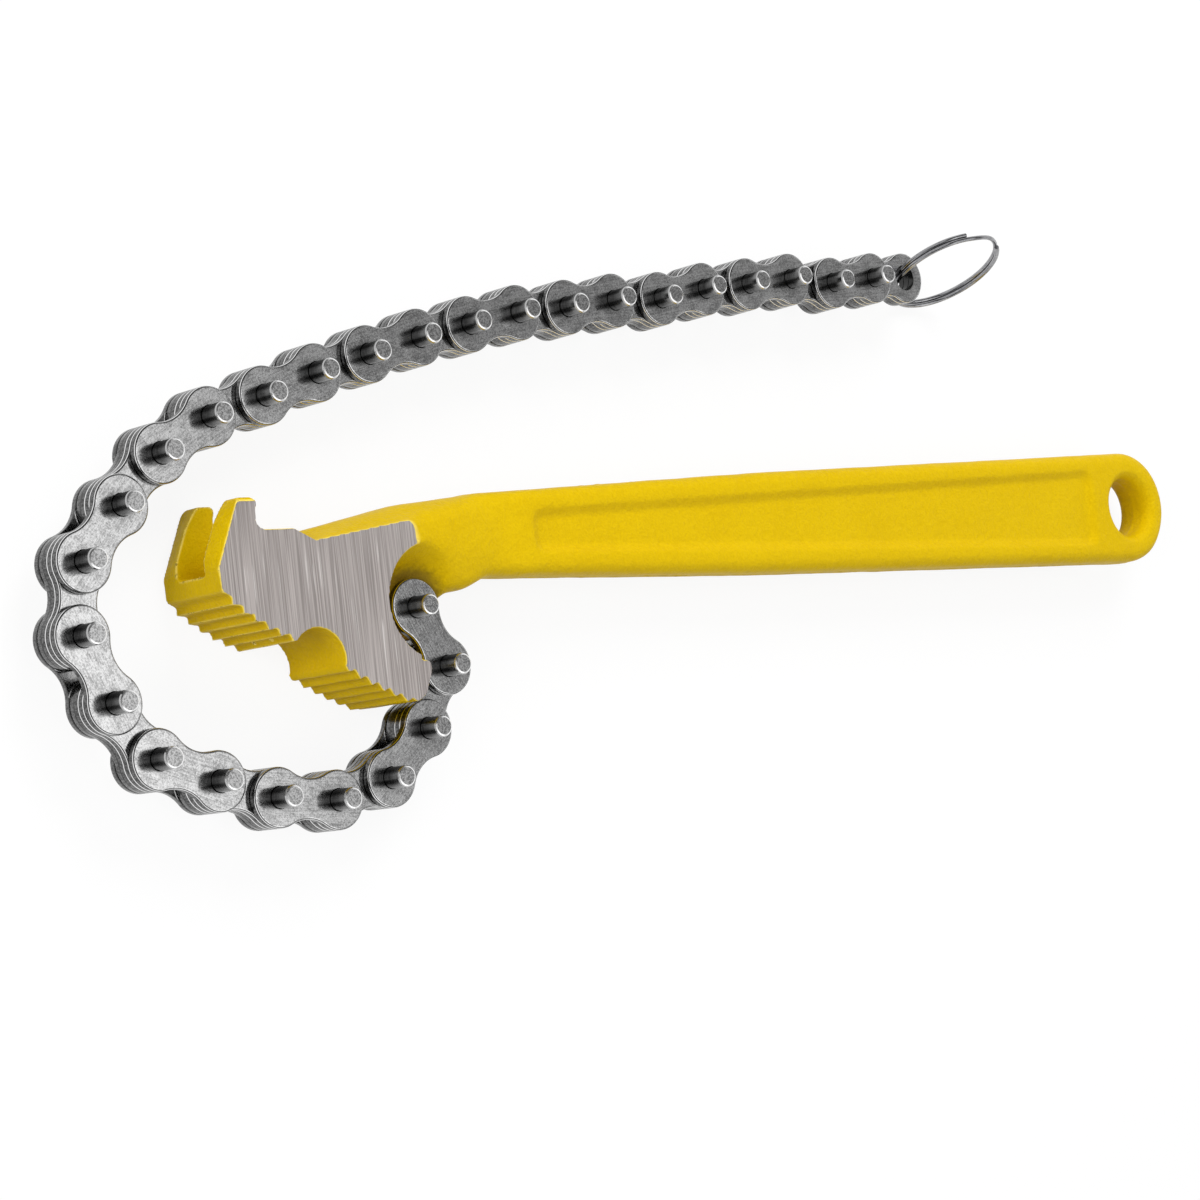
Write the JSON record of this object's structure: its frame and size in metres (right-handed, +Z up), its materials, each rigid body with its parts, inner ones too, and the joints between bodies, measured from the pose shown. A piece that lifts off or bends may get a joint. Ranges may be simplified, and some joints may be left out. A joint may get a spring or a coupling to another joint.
{
  "type": "chain pipe wrench",
  "caption": "Chain pipe wrench: a forged handle with a hang hole and a horned, toothed head, and a hinged leaf chain with long pins that wraps a pipe and ends in a split ring.",
  "frame": {"origin": "middle of the hang hole, at half the handle's thickness", "axes": "+X along the handle away from the head, +Y from the jaw towards the horns, +Z up out of the flat side that the tool lies on"},
  "size_m": [0.3408, 0.1272, 0.0279],
  "materials": {
    "enamel": "gloss",
    "plate_steel": "satin",
    "pin_steel": "satin",
    "wire": "polished"
  },
  "bodies": {
    "handle": {"handle": "enamel"},
    "outer_link_1": {"outer_plates_1": "plate_steel", "pins_1": "pin_steel"},
    "inner_link_1": {"inner_plates_1": "plate_steel"},
    "outer_link_2": {"outer_plates_2": "plate_steel", "pins_2": "pin_steel"},
    "inner_link_2": {"inner_plates_2": "plate_steel"},
    "outer_link_3": {"outer_plates_3": "plate_steel", "pins_3": "pin_steel"},
    "inner_link_3": {"inner_plates_3": "plate_steel"},
    "outer_link_4": {"outer_plates_4": "plate_steel", "pins_4": "pin_steel"},
    "inner_link_4": {"inner_plates_4": "plate_steel"},
    "outer_link_5": {"outer_plates_5": "plate_steel", "pins_5": "pin_steel"},
    "inner_link_5": {"inner_plates_5": "plate_steel"},
    "outer_link_6": {"outer_plates_6": "plate_steel", "pins_6": "pin_steel"},
    "inner_link_6": {"inner_plates_6": "plate_steel"},
    "outer_link_7": {"outer_plates_7": "plate_steel", "pins_7": "pin_steel"},
    "inner_link_7": {"inner_plates_7": "plate_steel"},
    "outer_link_8": {"outer_plates_8": "plate_steel", "pins_8": "pin_steel"},
    "inner_link_8": {"inner_plates_8": "plate_steel"},
    "outer_link_9": {"outer_plates_9": "plate_steel", "pins_9": "pin_steel"},
    "inner_link_9": {"inner_plates_9": "plate_steel"},
    "outer_link_10": {"outer_plates_10": "plate_steel", "pins_10": "pin_steel"},
    "inner_link_10": {"inner_plates_10": "plate_steel"},
    "outer_link_11": {"outer_plates_11": "plate_steel", "pins_11": "pin_steel"},
    "inner_link_11": {"inner_plates_11": "plate_steel"},
    "outer_link_12": {"outer_plates_12": "plate_steel", "pins_12": "pin_steel"},
    "inner_link_12": {"inner_plates_12": "plate_steel"},
    "outer_link_13": {"outer_plates_13": "plate_steel", "pins_13": "pin_steel"},
    "inner_link_13": {"inner_plates_13": "plate_steel"},
    "outer_link_14": {"outer_plates_14": "plate_steel", "pins_14": "pin_steel"},
    "end_link": {"end_plates": "plate_steel"},
    "split_ring": {"split_ring": "wire"}
  },
  "joints": [
    {"name": "anchor_hinge", "type": "hinge", "parent": "handle", "child": "outer_link_1", "pos_m": [-0.2392, -0.0149, 0], "axis": [0, 0, 1], "range_deg": [-5, 34]},
    {"name": "link_hinge_1", "type": "hinge", "parent": "outer_link_1", "child": "inner_link_1", "pos_m": [-0.23242, -0.02766, 0], "axis": [0, 0, -1], "range_deg": [-35, 5]},
    {"name": "link_hinge_2", "type": "hinge", "parent": "inner_link_1", "child": "outer_link_2", "pos_m": [-0.23942, -0.0403, 0], "axis": [0, 0, 1], "range_deg": [-10, 35]},
    {"name": "link_hinge_3", "type": "hinge", "parent": "outer_link_2", "child": "inner_link_2", "pos_m": [-0.25033, -0.04978, 0], "axis": [0, 0, -1], "range_deg": [-35, 8]},
    {"name": "link_hinge_4", "type": "hinge", "parent": "inner_link_2", "child": "outer_link_3", "pos_m": [-0.26441, -0.05303, 0], "axis": [0, 0, 1], "range_deg": [-8, 35]},
    {"name": "link_hinge_5", "type": "hinge", "parent": "outer_link_3", "child": "inner_link_3", "pos_m": [-0.27875, -0.05127, 0], "axis": [0, 0, -1], "range_deg": [-35, 8]},
    {"name": "link_hinge_6", "type": "hinge", "parent": "inner_link_3", "child": "outer_link_4", "pos_m": [-0.29249, -0.0468, 0], "axis": [0, 0, 1], "range_deg": [-6, 35]},
    {"name": "link_hinge_7", "type": "hinge", "parent": "outer_link_4", "child": "inner_link_4", "pos_m": [-0.30589, -0.04139, 0], "axis": [0, 0, -1], "range_deg": [-35, 6]},
    {"name": "link_hinge_8", "type": "hinge", "parent": "inner_link_4", "child": "outer_link_5", "pos_m": [-0.31459, -0.02985, 0], "axis": [0, 0, 1], "range_deg": [-6, 35]},
    {"name": "link_hinge_9", "type": "hinge", "parent": "outer_link_5", "child": "inner_link_5", "pos_m": [-0.32023, -0.01655, 0], "axis": [0, 0, -1], "range_deg": [-35, 6]},
    {"name": "link_hinge_10", "type": "hinge", "parent": "inner_link_5", "child": "outer_link_6", "pos_m": [-0.31822, -0.00224, 0], "axis": [0, 0, 1], "range_deg": [-6, 35]},
    {"name": "link_hinge_11", "type": "hinge", "parent": "outer_link_6", "child": "inner_link_6", "pos_m": [-0.30855, 0.0085, 0], "axis": [0, 0, -1], "range_deg": [-35, 6]},
    {"name": "link_hinge_12", "type": "hinge", "parent": "inner_link_6", "child": "outer_link_7", "pos_m": [-0.29816, 0.01854, 0], "axis": [0, 0, 1], "range_deg": [-6, 35]},
    {"name": "link_hinge_13", "type": "hinge", "parent": "outer_link_7", "child": "inner_link_7", "pos_m": [-0.28564, 0.02576, 0], "axis": [0, 0, -1], "range_deg": [-35, 8]},
    {"name": "link_hinge_14", "type": "hinge", "parent": "inner_link_7", "child": "outer_link_8", "pos_m": [-0.27182, 0.02999, 0], "axis": [0, 0, 1], "range_deg": [-8, 35]},
    {"name": "link_hinge_15", "type": "hinge", "parent": "outer_link_8", "child": "inner_link_8", "pos_m": [-0.25816, 0.03469, 0], "axis": [0, 0, -1], "range_deg": [-35, 8]},
    {"name": "link_hinge_16", "type": "hinge", "parent": "inner_link_8", "child": "outer_link_9", "pos_m": [-0.24427, 0.03868, 0], "axis": [0, 0, 1], "range_deg": [-10, 35]},
    {"name": "link_hinge_17", "type": "hinge", "parent": "outer_link_9", "child": "inner_link_9", "pos_m": [-0.23031, 0.04242, 0], "axis": [0, 0, -1], "range_deg": [-35, 10]},
    {"name": "link_hinge_18", "type": "hinge", "parent": "inner_link_9", "child": "outer_link_10", "pos_m": [-0.21618, 0.04542, 0], "axis": [0, 0, 1], "range_deg": [-12, 35]},
    {"name": "link_hinge_19", "type": "hinge", "parent": "outer_link_10", "child": "inner_link_10", "pos_m": [-0.202, 0.04818, 0], "axis": [0, 0, -1], "range_deg": [-35, 14]},
    {"name": "link_hinge_20", "type": "hinge", "parent": "inner_link_10", "child": "outer_link_11", "pos_m": [-0.18762, 0.04969, 0], "axis": [0, 0, 1], "range_deg": [-14, 35]},
    {"name": "link_hinge_21", "type": "hinge", "parent": "outer_link_11", "child": "inner_link_11", "pos_m": [-0.17328, 0.05145, 0], "axis": [0, 0, -1], "range_deg": [-35, 16]},
    {"name": "link_hinge_22", "type": "hinge", "parent": "inner_link_11", "child": "outer_link_12", "pos_m": [-0.15885, 0.05221, 0], "axis": [0, 0, 1], "range_deg": [-18, 35]},
    {"name": "link_hinge_23", "type": "hinge", "parent": "outer_link_12", "child": "inner_link_12", "pos_m": [-0.14462, 0.05471, 0], "axis": [0, 0, -1], "range_deg": [-35, 20]},
    {"name": "link_hinge_24", "type": "hinge", "parent": "inner_link_12", "child": "outer_link_13", "pos_m": [-0.13025, 0.05622, 0], "axis": [0, 0, 1], "range_deg": [-25, 45]},
    {"name": "link_hinge_25", "type": "hinge", "parent": "outer_link_13", "child": "inner_link_13", "pos_m": [-0.11588, 0.05774, 0], "axis": [0, 0, -1], "range_deg": [-45, 30]},
    {"name": "link_hinge_26", "type": "hinge", "parent": "inner_link_13", "child": "outer_link_14", "pos_m": [-0.10144, 0.05723, 0], "axis": [0, 0, 1], "range_deg": [-40, 60]},
    {"name": "link_hinge_27", "type": "hinge", "parent": "outer_link_14", "child": "end_link", "pos_m": [-0.08707, 0.05874, 0], "axis": [0, 0, -1], "range_deg": [-60, 60]},
    {"name": "ring_hinge", "type": "hinge", "parent": "end_link", "child": "split_ring", "pos_m": [-0.07389, 0.05943, 0], "axis": [0, 0, 1], "range_deg": [-60, 60]}
  ]
}
